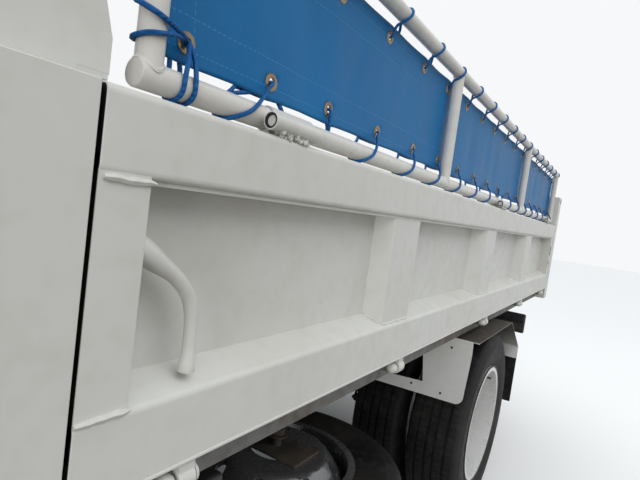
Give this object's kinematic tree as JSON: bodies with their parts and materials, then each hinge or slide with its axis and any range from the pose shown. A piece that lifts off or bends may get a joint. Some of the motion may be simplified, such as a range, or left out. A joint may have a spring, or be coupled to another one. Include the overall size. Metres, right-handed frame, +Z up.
{
  "type": "dump truck",
  "caption": "Narrow-cab tipping truck with a steel drop-side bed, folding sheet frames over its side gates, a tilting cab and twin rear wheels.",
  "frame": {"origin": "on the ground, midway between the front bumper and the tailgate and on the truck's middle line", "axes": "+X points forwards, +Y to the truck's left, +Z up"},
  "size_m": [4.935, 2.135, 1.985],
  "materials": {
    "bed_paint": "satin",
    "bed_floor_steel": "matte",
    "pipe_paint": "satin",
    "blue_sheet": "matte",
    "cab_paint": "gloss",
    "bumper_paint": "satin",
    "chassis_black": "satin",
    "spring_steel": "matte",
    "engine_iron": "matte",
    "guard_steel": "satin",
    "wheel_silver": "satin",
    "tyre": "matte",
    "rubber": "matte",
    "black_plastic": "matte",
    "dash_plastic": "matte",
    "seat_fabric": "matte",
    "lamp_red": "gloss",
    "lamp_glass": "gloss",
    "window_glass": "gloss",
    "hoist_paint": "satin",
    "hoist_chrome": "gloss"
  },
  "bodies": {
    "chassis": {"frame_rails": "chassis_black", "cross_members": "chassis_black", "rear_axle": "chassis_black", "front_axle": "chassis_black", "leaf_springs": "spring_steel", "engine": "engine_iron", "drive_shaft": "chassis_black", "fuel_tank": "chassis_black", "battery_box": "black_plastic", "spare_tyre": "tyre", "spare_wheel": "wheel_silver", "spare_carrier": "chassis_black", "mudguards": "guard_steel", "mud_flaps": "rubber", "tail_lamps": "lamp_red", "frame_brackets": "chassis_black", "front_bumper": "bumper_paint"},
    "knuckle_left": {"knuckle_left": "chassis_black"},
    "knuckle_right": {"knuckle_right": "chassis_black"},
    "track_rod": {"track_rod": "chassis_black"},
    "front_wheel_left": {"front_tyre_left": "tyre", "front_wheel_left": "wheel_silver"},
    "front_wheel_right": {"front_tyre_right": "tyre", "front_wheel_right": "wheel_silver"},
    "rear_wheels_left": {"rear_tyres_left": "tyre", "rear_wheels_left": "wheel_silver"},
    "rear_wheels_right": {"rear_tyres_right": "tyre", "rear_wheels_right": "wheel_silver"},
    "bed": {"bed_floor": "bed_floor_steel", "bed_cross_members": "bed_paint", "bed_underframe": "bed_paint", "headboard": "bed_paint", "rear_pillars": "bed_paint"},
    "hoist_barrel": {"hoist_barrel": "hoist_paint"},
    "hoist_rod": {"hoist_rod": "hoist_chrome"},
    "tailgate": {"tailgate": "bed_paint"},
    "side_gate_left": {"side_gate_left": "bed_paint"},
    "side_gate_right": {"side_gate_right": "bed_paint"},
    "sheet_frame_left": {"sheet_frame_left": "pipe_paint", "side_sheet_left": "blue_sheet"},
    "sheet_frame_right": {"sheet_frame_right": "pipe_paint", "side_sheet_right": "blue_sheet"},
    "cab": {"cab_body": "cab_paint", "cab_windows": "window_glass", "seats": "seat_fabric", "dashboard": "dash_plastic", "headlamps": "lamp_glass", "grille": "black_plastic", "mirrors": "black_plastic"},
    "door_left": {"door_left": "cab_paint", "door_glass_left": "window_glass"},
    "door_right": {"door_right": "cab_paint", "door_glass_right": "window_glass"}
  },
  "joints": [
    {"name": "bed_tilt", "type": "hinge", "parent": "chassis", "child": "bed", "pos_m": [-2.08, 0, 0.736], "axis": [0, -1, 0], "range_deg": [0, 50]},
    {"name": "hoist_barrel_swing", "type": "hinge", "parent": "chassis", "child": "hoist_barrel", "pos_m": [-1.4, 0, 0.62], "axis": [0, -1, 0], "range_deg": [0, 65.6]},
    {"name": "hoist_rod_slide", "type": "slide", "parent": "hoist_barrel", "child": "hoist_rod", "axis": [0.9946, 0, 0.1036], "range_m": [0, 0.441]},
    {"name": "tailgate_swing", "type": "hinge", "parent": "bed", "child": "tailgate", "pos_m": [-2.4175, 0, 1.399], "axis": [0, 1, 0], "range_deg": [0, 75]},
    {"name": "side_gate_left_drop", "type": "hinge", "parent": "bed", "child": "side_gate_left", "pos_m": [-0.8, 0.838, 0.832], "axis": [-1, 0, 0], "range_deg": [0, 130]},
    {"name": "sheet_frame_left_fold", "type": "hinge", "parent": "side_gate_left", "child": "sheet_frame_left", "pos_m": [-0.8, 0.815, 1.269], "axis": [-1, 0, 0], "range_deg": [-90, 0]},
    {"name": "side_gate_right_drop", "type": "hinge", "parent": "bed", "child": "side_gate_right", "pos_m": [-0.8, -0.838, 0.832], "axis": [1, 0, 0], "range_deg": [0, 130]},
    {"name": "sheet_frame_right_fold", "type": "hinge", "parent": "side_gate_right", "child": "sheet_frame_right", "pos_m": [-0.8, -0.815, 1.269], "axis": [1, 0, 0], "range_deg": [-90, 0]},
    {"name": "cab_tilt", "type": "hinge", "parent": "chassis", "child": "cab", "pos_m": [2.385, 0, 0.66], "axis": [0, 1, 0], "range_deg": [0, 45]},
    {"name": "door_left_open", "type": "hinge", "parent": "cab", "child": "door_left", "pos_m": [2.077, 0.8575, 1.2], "axis": [0, 0, -1], "range_deg": [0, 70]},
    {"name": "door_right_open", "type": "hinge", "parent": "cab", "child": "door_right", "pos_m": [2.077, -0.8575, 1.2], "axis": [0, 0, 1], "range_deg": [0, 70]},
    {"name": "steer_left", "type": "hinge", "parent": "chassis", "child": "knuckle_left", "pos_m": [1.4125, 0.575, 0.376], "axis": [0, 0, 1], "range_deg": [-35, 35]},
    {"name": "steer_right", "type": "hinge", "parent": "chassis", "child": "knuckle_right", "pos_m": [1.4125, -0.575, 0.376], "axis": [0, 0, 1], "range_deg": [-35, 35]},
    {"name": "track_rod_swing", "type": "hinge", "parent": "knuckle_left", "child": "track_rod", "pos_m": [1.2625, 0.575, 0.266], "axis": [0, 0, 1], "range_deg": [-35, 35]},
    {"name": "front_wheel_left_spin", "type": "hinge", "parent": "knuckle_left", "child": "front_wheel_left", "pos_m": [1.4125, 0.6975, 0.376], "axis": [0, 1, 0], "continuous": true},
    {"name": "rear_wheels_left_spin", "type": "hinge", "parent": "chassis", "child": "rear_wheels_left", "pos_m": [-1.0875, 0.636, 0.376], "axis": [0, 1, 0], "continuous": true},
    {"name": "front_wheel_right_spin", "type": "hinge", "parent": "knuckle_right", "child": "front_wheel_right", "pos_m": [1.4125, -0.6975, 0.376], "axis": [0, 1, 0], "continuous": true},
    {"name": "rear_wheels_right_spin", "type": "hinge", "parent": "chassis", "child": "rear_wheels_right", "pos_m": [-1.0875, -0.636, 0.376], "axis": [0, 1, 0], "continuous": true}
  ],
  "couplings": [
    {"joint": "hoist_barrel_swing", "follows": "bed_tilt", "ratio": 1.3117},
    {"joint": "hoist_rod_slide", "follows": "bed_tilt", "m_per_rad": 0.50446},
    {"joint": "steer_right", "follows": "steer_left", "ratio": 1},
    {"joint": "track_rod_swing", "follows": "steer_left", "ratio": -1}
  ]
}
